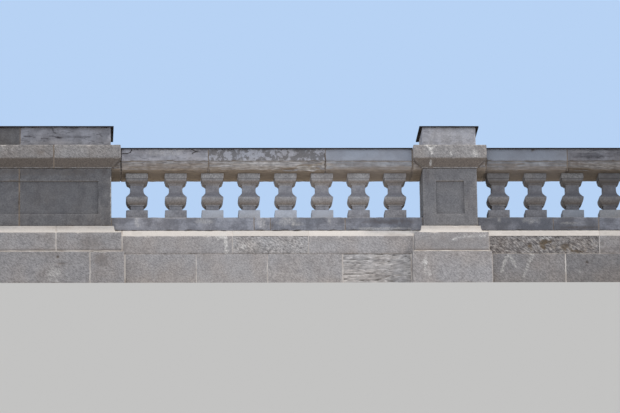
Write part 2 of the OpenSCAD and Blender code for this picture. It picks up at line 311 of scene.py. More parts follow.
# %% The stone finishes
finishes = {
    # Flat stones dressed with a fine chisel: even grey with slanting strokes.
    "tooled": weathered_stone(
        "tooled_grey_sandstone", "#9E9B9C", "#A8A5A6", cloud=0.13, grain=0.011, stroke=0.024, slant=35,
        grain_force=0.30,
    ),
    # The same, coarser: struck with a point, so that the face is pitted and catches the light.
    "pointed": weathered_stone(
        "pointed_grey_sandstone", "#9E9C9D", "#B6B4B5", cloud=0.06, grain=0.014, stroke=0.030, slant=35,
        grain_force=0.44, washed="#C4C1BF", relief=0.006,
    ),
    # Split and flaked along its beds, which show as level ridges.
    "bedded": weathered_stone(
        "split_bedded_sandstone", "#A19E9E", "#BEBCBD", cloud=0.10, grain=0.012, stroke=0.080, slant=-3,
        grain_force=0.40, beds=0.65, veins=0.45, washed="#C9C7C5", relief=0.005,
    ),
    # Eaten away by weather into slanting ridges, with a rusty bed in the middle.
    "eroded": weathered_stone(
        "eroded_ochre_sandstone", "#7A7574", "#A39F9E", cloud=0.07, grain=0.012, stroke=0.042, slant=40,
        grain_force=0.52, washed="#AFABA8", crust_and_shade="#6B625B", stain_and_shade="#6A5C4B", relief=0.008,
    ),
    # Slopes and hollows that the rain runs over: pale and smooth.
    "washed": weathered_stone(
        "rain_washed_cream_sandstone", "#CBC6C2", "#D9D4D0", cloud=0.16, grain_force=0.06, relief=0.001,
    ),
    # Rubbed smooth and even, blue-grey with painted skylight shade, as under the flashing.
    "rubbed": weathered_stone(
        "rubbed_sky_shaded_sandstone", "#9BA0AC", "#A5ABB7", cloud=0.22, grain_force=0.05, relief=0.0006,
    ),
    # Rubbed, with a dark skin that has partly gone and left pale spots.
    "skinned": weathered_stone(
        "dark_skinned_sandstone", "#7B7A7D", "#ABADB6", cloud=0.065, cloud_from=0.48, cloud_to=0.57,
        grain_force=0.10, relief=0.001,
    ),
    # The rails' upper faces and the blocking stones: blue-grey with painted skylight shade, as under the
    # flashing, and level dark veins.
    "veined": weathered_stone(
        "veined_sky_shaded_sandstone", "#929299", "#B0B1BA", cloud=0.12, grain_force=0.08, beds=0.35, veins=0.5,
        stain_and_shade="#4E4B4F", relief=0.0015,
    ),
    # Under the rail's face: brown-grey, flaking along its beds.
    "laminated": weathered_stone(
        "laminated_brown_sandstone", "#8D8887", "#B4B2B4", cloud=0.10, grain=0.011, stroke=0.090, slant=0,
        grain_force=0.32, beds=0.5, veins=0.5, crust_and_shade="#8C7C6B", relief=0.005,
    ),
    # The same under the rubbed faces: greyer, and more even.
    "dusty": weathered_stone(
        "dusty_grey_sandstone", "#919093", "#B4B6BC", cloud=0.14, grain=0.014, stroke=0.100, slant=0,
        grain_force=0.20, beds=0.4, crust_and_shade="#95877A", relief=0.003,
    ),
    # The bottom rail: dark blue-grey, painted so as the shade under the top rail, with pale smears.
    "sill": weathered_stone(
        "rail_shaded_blue_sandstone", "#7C7E87", "#A0A3AE", cloud=0.17, cloud_from=0.40, cloud_to=0.66,
        grain_force=0.12, beds=0.3, veins=0.2, washed="#96979E", crust_and_shade="#5B544C",
    ),
    # The dies, and one blocking stone: painted dark with the shade of the caps and the flashing, fine and
    # even, with faint upright streaks. Their slopes and tops are kept as dark, in the same painted shade.
    "panel": weathered_stone(
        "shaded_panel_sandstone", "#6B6A6D", "#7B7A7C", cloud=0.12, grain_force=0.19, streaks=0.5,
        washed="#77767A", top="#6F6D70",
    ),
    # The caps: coarse grey, with white lime runs down their faces.
    "capped": weathered_stone(
        "lime_streaked_sandstone", "#918E8E", "#9A9797", cloud=0.09, grain=0.011, stroke=0.024, slant=35,
        grain_force=0.31, runs=0.15, crust_and_shade="#776D65", relief=0.003,
    ),
    # The balusters: warm grey, darker and browner where a moulding looks down, with crust and painted shade.
    "turned": weathered_stone(
        "moulded_baluster_sandstone", "#969496", "#A9A8AA", cloud=0.09, grain_force=0.22, washed="#9A999D",
        crust_and_shade="#8D837C", stain_and_shade="#4A4542",
    ),
    # Their necks, waists and square blocks, which the rain reaches: bluer, as painted skylight in the shade
    # under the rail.
    "rinsed_and_sky_lit": weathered_stone(
        "rinsed_sky_lit_sandstone", "#8D8D94", "#9FA0A7", cloud=0.09, grain_force=0.16, washed="#8D8D94",
    ),
    # The blocks of six balusters, rinsed paler still, with the same painted skylight.
    "bleached_and_sky_lit": weathered_stone(
        "bleached_sky_lit_sandstone", "#B2B8C4", "#C0C6D2", cloud=0.09, grain_force=0.08,
    ),
}
print(len(finishes), "stone finishes")

# %% [markdown]
# ## Mortar and sheet metal
#
# Lime mortar fills the joints. It is soft and pale, pinkish where it was mixed with brick dust and
# brown where soot has settled, and it stands a few millimetres back from the stone. The brown of the
# joints above the courses is painted darker as their shade too. The tops of the blocking stones and
# the rails are covered with painted sheet metal, from which rust and dust streak; it is painted near
# black for the shade it lies in, and shows as a thin dark line from below.

# %% Mortar


def lime_mortar(name, lighter_tone, darker_tone):
    """A sandy mortar in two tones."""
    material, tree = new_material(name)
    place = add(tree, "TexCoord").outputs["Object"]
    spots = add(tree, "TexNoise", {"Vector": place, "Scale": 7.0, "Detail": 4.0})
    darkening = add(tree, "MapRange", {"Value": spots, "From Min": 0.42, "From Max": 0.64})
    layer = {SHARE: darkening, UNDER: linear(lighter_tone), OVER: linear(darker_tone)}
    colour = add(tree, "Mix", layer, data_type="RGBA").outputs[MIXED]
    sand = add(tree, "TexNoise", {"Vector": place, "Scale": 220.0})
    rough = add(tree, "MapRange", {"Value": sand, "To Min": 0.85, "To Max": 0.98})
    bump = add(tree, "Bump", {"Height": sand, "Distance": 0.001})
    surface = {"Base Color": colour, "Roughness": rough, "Normal": bump, "Specular IOR Level": 0.2}
    shader = add(tree, "BsdfPrincipled", surface)
    add(tree, "OutputMaterial", {"Surface": shader})
    return material


mortars = {
    "pale": lime_mortar("pale_lime_mortar", "#DAD4CF", "#B9B0A9"),
    # The brown mortar is darkened with painted shade as well as soot.
    "brown": lime_mortar("sooty_and_shaded_lime_mortar", "#8F8276", "#6A6058"),
}
print("mortars:", ", ".join(mortars))

# %% Painted sheet metal, near black with painted shade
sheet, tree = new_material("shade_darkened_sheet_steel")
place = add(tree, "TexCoord").outputs["Object"]
dust = add(tree, "TexNoise", {"Vector": place, "Scale": 6.0, "Detail": 4.0})
rust = add(tree, "MapRange", {"Value": dust, "From Min": 0.50, "From Max": 0.68})
# Both tones are near black: rust and dust, darkened with painted shade.
layer = {SHARE: rust, UNDER: linear("#261C19"), OVER: linear("#35251D")}
colour = add(tree, "Mix", layer, data_type="RGBA").outputs[MIXED]
rough = add(tree, "MapRange", {"Value": dust, "To Min": 0.65, "To Max": 0.85})
bump = add(tree, "Bump", {"Height": dust, "Distance": 0.002})
surface = {"Base Color": colour, "Roughness": rough, "Normal": bump, "Specular IOR Level": 0.2}
shader = add(tree, "BsdfPrincipled", surface)
add(tree, "OutputMaterial", {"Surface": shader})
print("sheet metal is", sheet.name)

# %% [markdown]
# ## From a CAD solid to a mason's stone
#
# A mason starts from a squared block and works the mouldings on it. Here the block and its mouldings
# come from the CAD node. Its triangles are first joined back to whole flat faces. The solid is then
# cut at the joints, and each stone is scored with a grid of fine lines, closer at the edges, so that
# there is something to wear away. A sharp outer edge of a stone is called an arris.

# %% Cutting
# Two faces that meet at more than this make an arris, and these are the places of the score lines
# beside one, in metres.
arris_angle = math.radians(28)
BESIDE_ARRIS = (-0.012, -0.005, 0.005, 0.012)
# The other lines keep this far from those, and all lines keep this far from the stone's ends.
from_close, from_end = 0.006, 0.002


def blank(node):
    """The CAD solid as an editable mesh, with its flat faces whole again."""
    bm = bmesh.new()
    bm.from_mesh(nodes[node].data)
    bmesh.ops.remove_doubles(bm, verts=bm.verts, dist=0.00005)
    bmesh.ops.dissolve_limit(bm, angle_limit=math.radians(0.5), verts=bm.verts, edges=bm.edges)
    return bm


def saw(bm, x, keep_right):
    """Cuts the solid across at x, keeps one side and closes the cut."""
    cut = bmesh.ops.bisect_plane(
        bm,
        geom=bm.verts[:] + bm.edges[:] + bm.faces[:],
        dist=1e-6,
        plane_co=(x, 0, 0),
        plane_no=(1, 0, 0),
        clear_inner=keep_right,
        clear_outer=not keep_right,
    )
    rim = [g for g in cut["geom_cut"] if isinstance(g, bmesh.types.BMEdge)]
    bmesh.ops.edgeloop_fill(bm, edges=rim)
    bmesh.ops.recalc_face_normals(bm, faces=bm.faces)


def slab(node, left, right):
    """The part of a node between two places along the balustrade."""
    bm = blank(node)
    low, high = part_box(node)
    if left > low.x + 1e-4:
        saw(bm, left, True)
    if right < high.x - 1e-4:
        saw(bm, right, False)
    return bm


def score(bm, axis, places):
    """Cuts lines round the stone at these places along the axis."""
    square = Vector([float(i == axis) for i in range(3)])
    for place in places:
        geom = bm.verts[:] + bm.edges[:] + bm.faces[:]
        bmesh.ops.bisect_plane(bm, geom=geom, dist=2e-4, plane_co=square * place, plane_no=square)


def sharp_edges(bm):
    """The convex arrises of a stone, as an array of their two ends."""
    bm.normal_update()
    found = [e for e in bm.edges if e.is_manifold and e.calc_face_angle_signed() > arris_angle]
    return np.array([[v.co[:] for v in e.verts] for e in found])


def lines_between(low, high, step, ends):
    """Places from low to high about step apart, and close to each of the ends."""
    count = max(1, round((high - low) / step))
    places = [low + (high - low) * i / count for i in range(1, count)]
    close = [e + d for e in ends for d in BESIDE_ARRIS]
    kept = [p for p in places if all(abs(p - c) > from_close for c in close + list(ends))]
    return sorted(set(round(p, 5) for p in kept + close if low + from_end < p < high - from_end))


die = blank("middle_pedestal_die")
print("the pedestal's die has", len(die.faces), "faces,", len(sharp_edges(die)), "arrises")
die.free()

# %% [markdown]
# ## Marks and cracks
#
# Some marks belong to one place on one stone: a white run of lime, a brown stain, a flake that has
# come off. Each is an ellipse on the front face, with a ragged edge. It is given by its middle, its
# half width and half height in metres, how white (to 1) or how brown (to -1) it is, and how deep the
# stone has gone. A run of lime water, or a dark vein, is a line of points with its half width and how
# white or brown it is. A crack is a line of points too. All were placed from the photograph.

# %% Marks
MARKS = {
    "left_pier_blocking_stone": [
        (-4.42, 1.838, 0.22, 0.018, -0.50, 0),
        (-4.51, 1.950, 0.13, 0.010, -0.60, 0),
        (-4.80, 1.770, 0.34, 0.018, 0.12, 0),
    ],
    "left_pier_cap": [(-4.88, 1.62, 0.05, 0.03, -0.3, 0.002), (-5.30, 1.66, 0.20, 0.03, 0.2, 0)],
    # The first mark on the die is a dark band just under the cap: painted shade of the cap.
    "left_pier_die": [(-4.90, 1.41, 0.80, 0.05, -0.30, 0), (-4.05, 1.06, 0.010, 0.33, 0.6, 0)],
    "left_pier_base_course": [(-4.30, 0.50, 0.16, 0.09, -0.25, 0)],
    "left_pier_lower_course": [
        (-4.17, 0.28, 0.10, 0.07, -0.3, 0),
        (-4.68, 0.32, 0.024, 0.018, -1.0, 0.004),
        (-4.63, 0.24, 0.060, 0.014, -0.5, 0.002),
        (-4.72, 0.12, 0.09, 0.09, 0.5, 0),
    ],
    "left_bay_top_rail": [
        (-1.70, 1.46, 0.13, 0.05, 0.35, 0.014),
        (-1.50, 1.50, 0.09, 0.04, 0.2, 0.010),
        (-1.90, 1.45, 0.10, 0.02, -0.5, 0.012),
        (-2.20, 1.50, 0.74, 0.060, 0.22, 0),
        (-3.03, 1.667, 0.05, 0.016, -0.6, 0.003),
        (-3.40, 1.66, 0.25, 0.04, 0.3, 0),
        (-2.30, 1.53, 0.40, 0.015, 0.15, 0),
    ],
    "left_bay_bottom_rail": [
        (-3.74, 0.80, 0.03, 0.06, 0.35, 0),
        (-2.95, 0.82, 0.14, 0.03, 0.3, 0),
        (-2.25, 0.79, 0.08, 0.07, 0.35, 0),
        (-1.96, 0.81, 0.11, 0.05, 0.38, 0),
        (-1.83, 0.78, 0.07, 0.03, 0.38, 0),
        (-2.13, 0.76, 0.02, 0.05, -0.4, 0),
        (-1.45, 0.82, 0.025, 0.035, 0.4, 0),
        (-0.84, 0.725, 0.38, 0.018, 0.5, 0),
        (-0.70, 0.81, 0.40, 0.03, -0.4, 0),
    ],
    "left_bay_base_course": [
        (-3.74, 0.66, 0.06, 0.03, -0.12, 0),
        (-2.72, 0.60, 0.09, 0.035, 0.8, 0),
        (-2.72, 0.655, 0.05, 0.035, 1.0, 0),
        (-2.55, 0.665, 0.04, 0.020, 0.9, 0),
        (-2.47, 0.485, 0.034, 0.030, 0.8, 0),
        (-2.36, 0.545, 0.04, 0.02, 0.35, 0.003),
        (-2.28, 0.475, 0.05, 0.02, 0.3, 0.003),
        (-1.33, 0.60, 0.03, 0.012, 0.45, 0),
        # The next mark is painted shadow of the pedestal, on the slope and the top of the face below it.
        (-0.66, 0.62, 0.16, 0.06, -0.25, 0),
        (-0.60, 0.67, 0.07, 0.02, 0.3, 0),
    ],
    "left_bay_lower_course": [(-0.53, 0.22, 0.05, 0.17, 0.3, 0), (-2.0, 0.15, 0.4, 0.02, 0.15, 0)],
    "middle_pedestal_blocking_stone": [(0.03, 1.85, 0.40, 0.14, 0.22, 0)],
    "middle_pedestal_cap": [
        (0.01, 1.60, 0.014, 0.04, 0.7, 0),
        (0.30, 1.61, 0.04, 0.06, 0.6, 0),
        (-0.23, 1.50, 0.014, 0.03, 0.6, 0),
    ],
    "middle_pedestal_base_course": [(0.03, 0.54, 0.05, 0.020, 0.4, 0), (0.03, 0.50, 0.50, 0.12, -0.20, 0)],
    "middle_pedestal_lower_course": [(-0.32, 0.24, 0.035, 0.08, 0.7, 0), (-0.28, 0.12, 0.05, 0.04, 0.35, 0)],
    "right_bay_top_rail": [
        (1.00, 1.695, 0.03, 0.022, -0.9, 0.006),
        (0.86, 1.51, 0.05, 0.014, -0.3, 0.004),
        (1.90, 1.63, 0.50, 0.060, -0.35, 0),
        (1.75, 1.66, 0.30, 0.014, 0.5, 0),
        (1.70, 1.60, 0.24, 0.020, -0.4, 0),
        (2.10, 1.49, 0.70, 0.045, 0.25, 0),
        (1.60, 1.44, 0.12, 0.02, -0.4, 0.010),
    ],
    "right_bay_bottom_rail": [
        (0.585, 0.83, 0.02, 0.035, 0.5, 0),
        (0.97, 0.82, 0.10, 0.035, 0.4, 0),
        (1.45, 0.79, 0.14, 0.02, 0.4, 0),
        (1.55, 0.735, 0.26, 0.02, -0.5, 0),
    ],
    "right_bay_base_course": [
        (0.955, 0.485, 0.035, 0.050, -0.8, 0.006),
        (1.135, 0.545, 0.080, 0.030, -1.0, 0.008),
        (1.100, 0.480, 0.045, 0.035, -1.0, 0.008),
        (1.220, 0.490, 0.050, 0.040, -0.5, 0.004),
        (1.370, 0.480, 0.090, 0.050, -0.7, 0.005),
        (1.520, 0.425, 0.070, 0.018, -0.9, 0.006),
        (1.13, 0.60, 0.12, 0.02, 0.5, 0.003),
        (1.15, 0.66, 0.60, 0.04, -0.12, 0.002),
        (1.95, 0.52, 0.11, 0.07, 0.36, 0),
        (2.32, 0.48, 0.62, 0.14, -0.44, 0),
    ],
    "right_bay_lower_course": [
        (1.53, 0.17, 0.012, 0.04, 0.5, 0),
        (1.62, 0.28, 0.02, 0.012, -0.9, 0.003),
    ],
}
RUNS = {
    "left_pier_blocking_stone": [
        ([(-5.085, 1.846), (-5.025, 1.850), (-4.965, 1.837)], 0.008, -0.8),
        ([(-4.783, 1.850), (-4.739, 1.850), (-4.703, 1.841), (-4.656, 1.829)], 0.010, -0.9),
        ([(-4.878, 1.821), (-4.799, 1.821)], 0.007, -0.7),
        ([(-4.743, 1.940), (-4.735, 1.899), (-4.703, 1.887)], 0.008, -0.7),
        ([(-4.218, 1.871), (-4.178, 1.874), (-4.163, 1.850)], 0.007, -0.5),
    ],
    "left_bay_base_course": [([(-2.70, 0.60), (-2.685, 0.55), (-2.68, 0.41)], 0.020, 0.7)],
    "middle_pedestal_cap": [
        ([(-0.29, 1.70), (-0.24, 1.665), (-0.22, 1.61)], 0.018, 0.72),
        ([(-0.17, 1.70), (-0.23, 1.66)], 0.014, 0.55),
    ],
    "middle_pedestal_base_course": [
        ([(0.02, 0.545), (0.10, 0.568), (0.24, 0.578), (0.38, 0.580)], 0.016, 0.55),
    ],
    "right_bay_lower_course": [
        ([(0.59, 0.17), (0.63, 0.29), (0.67, 0.360), (0.70, 0.360), (0.76, 0.24)], 0.018, 0.75),
        ([(0.97, 0.38), (0.92, 0.27), (0.85, 0.11)], 0.020, 0.50),
    ],
}
CRACKS = {
    "left_bay_top_rail": [
        [(-3.935, 1.640), (-3.850, 1.642), (-3.815, 1.658), (-3.803, 1.682), (-3.800, 1.704)],
        [(-3.085, 1.690), (-3.030, 1.668), (-3.075, 1.644)],
    ],
}
crack_width, crack_depth = 0.004, 0.012
print(sum(len(m) for m in MARKS.values()), "marks,", sum(len(r) for r in RUNS.values()), "runs and veins")

# %% What the marks do to a point
# A ragged edge as its middle, where 1 is the outline, its noise a metre and how far it wanders.
MARK_EDGE, RUN_EDGE = (1.15, 22, 0.7), (1.25, 30, 0.8)
# No mark reaches further than this, where 1 is its outline.
mark_reach = 1.8
# Where the score lines through a mark go, in its half sizes, and how close those in a run are.
MARK_SHARES, run_share = (-1.2, -0.7, 0, 0.7, 1.2), 0.6


def clamp(value, low=0.0, high=1.0):
    """The value, kept between two limits."""
    return max(low, min(high, value))


def inside(off, p, edge):
    """1 inside a mark and 0 outside, with a ragged edge between. off is 1 on the outline."""
    middle, grain, wander = edge
    return clamp(1.5 * (middle - off + noise.noise(Vector(p) * grain) * wander))


def gap_to_line(x, z, path):
    """The distance in the face from a point to a line of points."""
    gaps = []
    for (x0, z0), (x1, z1) in zip(path, path[1:]):
        size = (x1 - x0) ** 2 + (z1 - z0) ** 2
        share = clamp(((x - x0) * (x1 - x0) + (z - z0) * (z1 - z0)) / size)
        gaps.append(math.hypot(x - x0 - share * (x1 - x0), z - z0 - share * (z1 - z0)))
    return min(gaps)


def marked(node, p):
    """The paint and the depth of the marks at a point on the front of a node."""
    paint = depth = 0.0
    for x, z, half_w, half_h, white, deep in MARKS.get(node, []):
        off = math.hypot((p[0] - x) / half_w, (p[2] - z) / half_h)
        if off < mark_reach:
            share = inside(off, p, MARK_EDGE)
            paint += white * share
            depth += deep * share
    for path, half, white in RUNS.get(node, []):
        paint += white * inside(gap_to_line(p[0], p[2], path) / half, p, RUN_EDGE)
    return clamp(paint, -1.0), depth


def mark_lines(node, left, right, axis):
    """Where a stone needs score lines across x (0) or z (2), so that its marks keep their shape."""
    i = axis // 2
    places = []
    for mark in MARKS.get(node, []):
        if left < mark[0] < right:
            places += [mark[i] + mark[i + 2] * share for share in MARK_SHARES]
    for path, half, white in RUNS.get(node, []):
        if left < path[0][0] < right:
            start = min(point[i] for point in path) - half
            stop = max(point[i] for point in path) + half
            count = int((stop - start) / half / run_share) + 1
            places += [start + half * run_share * k for k in range(count)]
    return places


sample = marked("left_bay_base_course", (-2.72, -0.40, 0.60))
print("in the middle of a splash the paint is", round(sample[0], 2), "and the depth", sample[1])

# %% [markdown]
# ## Wear
#
# Frost and rain take the arrises first, because water gets at them from two sides. Each point of the
# stone moves inward by an amount that falls off with its distance from the nearest arris, broken up
# by noise, with a deeper chip here and there. On the face itself only the tool marks are left, or,
# on a stone that splits, level ridges along its beds. Stone is only ever taken away, so the object
# stays inside its CAD box.

# %% Dressing


def noise_at(x, y, z):
    """Smooth noise, from about -1 to 1."""
    return noise.noise(Vector((x, y, z)))


# The wear of an arris reaches this far from it, in metres.
arris_reach = 0.016
# Chips: how many in a metre, how rare they are, and how many times as deep as the usual wear.
chip_rate, chip_rare, chip_deep = 11, 0.30, 17
# Below this height is the underside, which stays flat on the ground.
underside = 0.002


def distance_to(points, edges):
    """The distance from each point to the nearest of the edges."""
    start, along = edges[:, 0], edges[:, 1] - edges[:, 0]
    length = np.maximum((along * along).sum(1), 1e-12)
    share = np.clip(((points[:, None] - start) * along).sum(2) / length, 0, 1)
    gap = points[:, None] - (start + share[..., None] * along)
    return np.sqrt((gap * gap).sum(2)).min(1)


def face_relief(way, p, upright):
    """How far the face lies back, in metres, at p. upright is 1 on a wall and 0 on a flat."""
    if way == "bedded":
        level = noise_at(p.x * 2.2, p.y * 2.2, p.z * 26)
        split = max(0.0, 1 - abs(noise_at(p.x * 1.6, p.y, p.z * 15)) / 0.07)
        return upright * (0.003 + 0.003 * level + 0.007 * split + 0.002 * noise.noise(p * 30))
    if way == "eroded":
        along, across = p.x * 0.79 - p.z * 0.62, p.x * 0.62 + p.z * 0.79
        lean = Vector((along * 15, p.y * 15, across * 42))
        return upright * (0.008 + 0.006 * noise.fractal(lean, 0.7, 2.1, 4) + 0.003 * noise.noise(p * 50))
    if way == "pointed":
        return 0.003 + 0.004 * noise_at(p.x * 26 + p.z * 20, p.y * 30, p.z * 34 - p.x * 18)
    if way == "washed":
        return 0.0
    if way in ("laminated", "dusty"):
        level = noise_at(p.x * 2.0, p.y * 2.0, p.z * 34)
        return 0.003 + 0.004 * level + 0.002 * noise.noise(p * 18)
    if way == "capped":
        return 0.002 + 0.0025 * noise.noise(p * 34)
    return 0.0008 + 0.0008 * noise.noise(p * 16)


def wear(points, normals, near, ways, lot, extra, depth):
    """Moves the points in from the arrises. near is 1 on an arris and 0 away from it."""
    shift = Vector([lot * size for size in LOT_SHIFT])
    moved = []
    for co, normal, close, way, deeper in zip(points, normals, near, ways, extra):
        p = Vector(co) + shift
        n = Vector(normal)
        push = deeper + face_relief(way, p, min(1.0, 1.3 * math.hypot(n.x, n.y) ** 4))
        if close > 0:
            chip = max(0.0, noise.noise(p * chip_rate) - chip_rare) * depth * chip_deep
            push += close * close * (depth * (0.8 + 0.8 * noise.noise(p * 20)) + chip)
        if co[2] < underside:
            n.z = 0.0
        moved.append(Vector(co) - n * max(0.0, push))
    return moved


test = [face_relief("tooled", Vector((x, 0.0, 0.3)), 1.0) * 1000 for x in np.linspace(0, 1, 50)]
print("a tooled face lies back", round(min(test), 2), "to", round(max(test), 2), "mm")

# %% [markdown]
# ## Putting a node's stones together
#
# The stones of one node become one piece, because they never move apart. Each keeps its own finish
# and its own lot. A rail's stones have two finishes, because the rounded member under the face stays
# dry and flakes, and so have those of the base course, whose slope is washed. A bed of mortar fills
# each joint: a thin slice of the same solid, drawn in by a few millimetres.

# %% Pieces
die_ends = {n: [end.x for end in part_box(n)] for n in nodes if n.endswith("die")}
# Heights, in metres: below the first is the rail's rounded member, and above the other two are the
# slopes of a bay's base course and of a pier's.
face_foot, bay_slope, pier_slope = 1.549, 0.6175, 0.6295
# The rounded member stops short of the rail's plain back, and its end on a cap is this deep each way.
rail_back, rail_end_half = 0.24, 0.264
# Edges sharper than this stay sharp in the shading.
crease = math.radians(35)


def finish_at(node, p, way):
    """The finish at a point of a stone whose face has this one."""
    if "top_rail" in node and p[2] < face_foot and p[1] < rail_back:
        return "dusty" if way == "rubbed" else "laminated"
    if node.endswith("cap") and p[2] < face_foot and abs(p[1]) < rail_end_half:
        left, right = die_ends[node.replace("cap", "die")]
        return way if left - 0.001 < p[0] < right + 0.001 else "laminated"
    if "base_course" in node and p[2] > (bay_slope if "bay" in node else pier_slope):
        return "washed"
    return way


def piece(name, parts, materials):
    """One object from parts, each of which is points, faces, a slot a face, and values a point."""
    points, faces, slots = [], [], []
    values = {"lot": [], "arris": [], "rise": [], "mark": []}
    for part in parts:
        first = len(points)
        points += part["points"]
        faces += [[first + i for i in face] for face in part["faces"]]
        slots += part["slots"]
        for label, found in values.items():
            found += list(part.get(label, [0.0] * len(part["points"])))
    mesh = bpy.data.meshes.new(name)
    mesh.from_pydata(points, [], faces)
    for label, found in values.items():
        mesh.attributes.new(label, "FLOAT", "POINT").data.foreach_set("value", found)
    for material in materials:
        mesh.materials.append(material)
    mesh.polygons.foreach_set("material_index", slots)
    mesh.shade_smooth()
    mesh.set_sharp_from_angle(angle=crease)
    mesh.validate()
    obj = bpy.data.objects.new(name, mesh)
    scene.collection.objects.link(obj)
    return obj


def triangles(obj):
    """How many triangles an object has."""
    return sum(len(p.vertices) - 2 for p in obj.data.polygons)


print(len(die_ends), "dies, each under a cap")

# %% One stone
# How close the score lines are on the face, in metres, and on the stones that need more of them.
usual_step = 0.024
STEPS = {"eroded": 0.010, "bedded": 0.012, "pointed": 0.013, "capped": 0.018}
# How close the score lines are through the depth of a stone, in metres.
depth_step = 0.11
# How far the arrises have worn back, in metres.
course_wear, rail_wear = 0.002, 0.004
# The lime on the bed at the foot of a bay's base course, and the painted shade of the open bed joint
# at the foot of a pier's: how high, how strong.
BAY_BED, PIER_BED_SHADE = (0.006, 0.35), (0.025, -0.40)
# Below this height the foot of the top rail has flaked off in places, by so much.
flaked_below, flake = 1.46, 0.016
# A mark's score line keeps this far from the stone's ends and from the other lines, in metres.
mark_from_end, mark_from_line = 0.004, 0.003
# The lines round a crack begin this far beside it.
beside_crack = 0.008
# How far a normal points to the front, as its y, on any face to the front and on one square to it.
to_front, square_on = -0.3, -0.9


def kind_of(node):
    """What a node is, without where it stands: left_bay_top_rail is a top_rail."""
    return node.split("_", 2)[2]


def score_stone(bm, node, edges, cracks, left, right, step):
    """Scores a stone along its length, up its height and through its depth."""
    for axis in (0, 2, 1):
        level = edges[np.abs(edges[:, 0, axis] - edges[:, 1, axis]) < 1e-4][:, 0, axis]
        ends = sorted(set(np.round(level, 4)))
        a, b = min(v.co[axis] for v in bm.verts), max(v.co[axis] for v in bm.verts)
        if axis == 1:
            score(bm, axis, lines_between(a, b, depth_step, ends))
            continue
        places = lines_between(a, b, step, ends)
        for place in mark_lines(node, left, right, axis):
            inner = a + mark_from_end < place < b - mark_from_end
            if inner and all(abs(place - p) > mark_from_line for p in places):
                places.append(place)
        for path in cracks:
            across = [point[axis // 2] for point in path]
            start = max(min(across) - beside_crack, a + from_end)
            end = min(max(across) + beside_crack, b - from_end)
            places += [start + i * crack_width for i in range(int((end - start) / crack_width))]
        score(bm, axis, sorted(places))


def paint_and_depth(node, low, p, n, close, cracks):
    """What weather and marks do at a point of a stone. n is its normal, close is 1 on an arris."""
    paint, deep = marked(node, p) if n[1] < to_front else (0.0, 0.0)
    if kind_of(node) == "top_rail" and p[2] < flaked_below and close > 0:
        ragged = max(0.0, 0.35 + noise_at(p[0] * 4, p[1], 3) + 0.7 * noise_at(p[0] * 13, p[1], 7))
        deep += close * flake * ragged
        paint -= 0.7 * close * ragged
    # At the foot of a base course: lime in a bay, and at a pier a band painted with the shade of its open bed
    # joint.
    bed_line, bed_paint = BAY_BED if "bay" in node else PIER_BED_SHADE
    if kind_of(node) == "base_course" and p[2] < low.z + bed_line and abs(n[1]) > -to_front:
        paint += bed_paint * (1 + noise_at(p[0] * 5, 2, 8))
    # In a crack the stone is carved back and also painted dark as the crack's shade.
    if n[1] < square_on and any(gap_to_line(p[0], p[2], path) < crack_width * 0.8 for path in cracks):
        return -1.0, crack_depth
    return paint, deep


def stone(node, left, right, way, used, lot, step):
    """One worn stone of a node, between two places along the balustrade."""
    bm = slab(node, left, right)
    edges = sharp_edges(bm)
    cracks = [path for path in CRACKS.get(node, []) if left < path[1][0] < right]
    score_stone(bm, node, edges, cracks, left, right, step)
    bm.normal_update()
    bm.verts.index_update()
    points = np.array([v.co[:] for v in bm.verts])
    normals = [v.normal[:] for v in bm.verts]
    near = np.clip(1 - distance_to(points, edges) / arris_reach, 0, 1)
    low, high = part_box(node)
    ways = [finish_at(node, p, way) for p in points]
    found = zip(points, normals, near)
    marks, extra = zip(*(paint_and_depth(node, low, p, n, c, cracks) for p, n, c in found))
    depth = course_wear if "course" in node else rail_wear
    part = {
        "points": wear(points, normals, near, ways, lot, extra, depth),
        "faces": [[v.index for v in f.verts] for f in bm.faces],
        "slots": [used.index(finish_at(node, f.calc_center_median(), way)) for f in bm.faces],
        "lot": [lot] * len(points),
        "arris": near,
        "rise": (points[:, 2] - low.z) / (high.z - low.z),
        "mark": marks,
    }
    bm.free()
    return part


print("a metre of face has", len(lines_between(0.0, 1.0, usual_step, [])), "score lines")

# %% One joint
# The mortar of a joint reaches this far into the stones on both sides, in metres.
overlap = 0.004
# It stands this far back from the top and the foot of its stones, and this far from their faces.
mortar_sunk = 0.004
BACK = {"wide": 0.002, "narrow": 0.004, "course end": 0.001, "rail end": 0.004, "lost": 0.045}
# A joint is wide from this on.
wide_joint = 0.005
# The mortar at the end of a bay goes this far into the pier, so that no gap shows.
into_pier = 0.010
# A point's normal leans over an edge, so it is moved a little further to come back far enough.
lean_share = 1.3


def mortar_slice(node, left, right, slot, back):
    """The mortar of one joint: a slice of the node, drawn in by back from its face."""
    bm = slab(node, left, right)
    low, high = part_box(node)
    bm.normal_update()
    for v in bm.verts:
        v.co -= Vector((0, v.normal.y * back, v.normal.z * mortar_sunk)) * lean_share
        if "bay" in node and min(v.co.x - low.x, high.x - v.co.x) < 1e-4:
            v.co.x += into_pier if v.co.x > (low.x + high.x) / 2 else -into_pier
    bm.verts.index_update()
    part = {
        "points": [v.co.copy() for v in bm.verts],
        "faces": [[v.index for v in f.verts] for f in bm.faces],
        "slots": [slot] * len(bm.faces),
    }
    bm.free()
    return part


print("mortar stands back", ", ".join(f"{back * 1000:.0f} mm ({where})" for where, back in BACK.items()))

# %% [markdown]
# ## Where the joints are
#
# The joints of the left half, and of the right half as far as the photograph goes, are where it shows
# them, in metres along the balustrade from the middle pedestal. The rest carries on in the same way.
# Each line is one node from left to right. A stone is its finish and its tone, from -1 to 1, and
# between two stones stand the place and the width of their joint, in millimetres.

